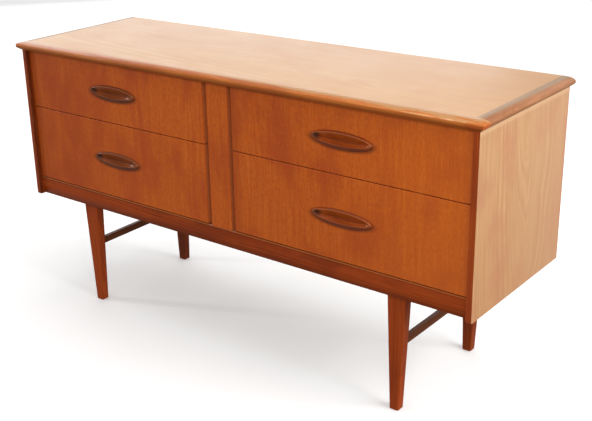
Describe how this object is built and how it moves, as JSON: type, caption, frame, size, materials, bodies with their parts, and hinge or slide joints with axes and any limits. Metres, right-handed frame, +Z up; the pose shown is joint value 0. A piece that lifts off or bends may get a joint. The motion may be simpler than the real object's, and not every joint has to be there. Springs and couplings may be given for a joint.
{
  "type": "dresser with drawers",
  "caption": "Low teak-veneered dresser: two banks of drawers with carved lens-shaped scoop pulls either side of a centre stile, on slim tapered legs.",
  "frame": {"origin": "on the floor, under the middle of the overall box", "axes": "+X to the right of someone facing the drawers, +Y to the back, +Z up"},
  "size_m": [1.355, 0.4144, 0.702],
  "materials": {
    "teak_veneer": "satin lacquered teak veneer",
    "solid_teak": "satin lacquered solid teak",
    "carved_teak": "gloss lacquered solid teak",
    "drawer_wood": "sealed pale hardwood",
    "plywood": "plain plywood",
    "carcass_wood": "planed, unfinished",
    "screw_steel": "plain steel"
  },
  "bodies": {
    "carcass": {"back_panel": "plywood", "back_panel_screws": "screw_steel", "bearer_screws": "screw_steel", "bottom_bead": "solid_teak", "bottom_panel": "carcass_wood", "bottom_rail": "solid_teak", "centre_divider": "carcass_wood", "centre_packing": "carcass_wood", "centre_post": "carcass_wood", "centre_stile": "teak_veneer", "corner_blocks": "carcass_wood", "left_back_leg": "solid_teak", "left_bearer": "carcass_wood", "left_centre_runners": "carcass_wood", "left_front_leg": "solid_teak", "left_front_lipping": "solid_teak", "left_outer_runners": "carcass_wood", "left_side_panel": "teak_veneer", "left_stretcher": "solid_teak", "left_top_edging": "solid_teak", "right_back_leg": "solid_teak", "right_bearer": "carcass_wood", "right_centre_runners": "carcass_wood", "right_front_leg": "solid_teak", "right_front_lipping": "solid_teak", "right_outer_runners": "carcass_wood", "right_side_panel": "teak_veneer", "right_stretcher": "solid_teak", "right_top_edging": "solid_teak", "runner_screws": "screw_steel", "top_back_rail": "carcass_wood", "top_fixing_screws": "screw_steel", "top_front_edging": "solid_teak", "top_front_rail": "carcass_wood", "top_panel": "teak_veneer"},
    "upper_left_drawer": {"upper_left_drawer_back": "drawer_wood", "upper_left_drawer_bottom": "plywood", "upper_left_drawer_front": "teak_veneer", "upper_left_drawer_handle": "carved_teak", "upper_left_drawer_left_side": "drawer_wood", "upper_left_drawer_right_side": "drawer_wood"},
    "upper_right_drawer": {"upper_right_drawer_back": "drawer_wood", "upper_right_drawer_bottom": "plywood", "upper_right_drawer_front": "teak_veneer", "upper_right_drawer_handle": "carved_teak", "upper_right_drawer_left_side": "drawer_wood", "upper_right_drawer_right_side": "drawer_wood"},
    "lower_left_drawer": {"lower_left_drawer_back": "drawer_wood", "lower_left_drawer_bottom": "plywood", "lower_left_drawer_front": "teak_veneer", "lower_left_drawer_handle": "carved_teak", "lower_left_drawer_left_side": "drawer_wood", "lower_left_drawer_right_side": "drawer_wood"},
    "lower_right_drawer": {"lower_right_drawer_back": "drawer_wood", "lower_right_drawer_bottom": "plywood", "lower_right_drawer_front": "teak_veneer", "lower_right_drawer_handle": "carved_teak", "lower_right_drawer_left_side": "drawer_wood", "lower_right_drawer_right_side": "drawer_wood"}
  },
  "joints": [
    {"name": "upper_left_drawer_slide", "type": "slide", "parent": "carcass", "child": "upper_left_drawer", "axis": [0, -1, 0], "range_m": [0, 0.28]},
    {"name": "upper_right_drawer_slide", "type": "slide", "parent": "carcass", "child": "upper_right_drawer", "axis": [0, -1, 0], "range_m": [0, 0.28]},
    {"name": "lower_left_drawer_slide", "type": "slide", "parent": "carcass", "child": "lower_left_drawer", "axis": [0, -1, 0], "range_m": [0, 0.28]},
    {"name": "lower_right_drawer_slide", "type": "slide", "parent": "carcass", "child": "lower_right_drawer", "axis": [0, -1, 0], "range_m": [0, 0.28]}
  ]
}
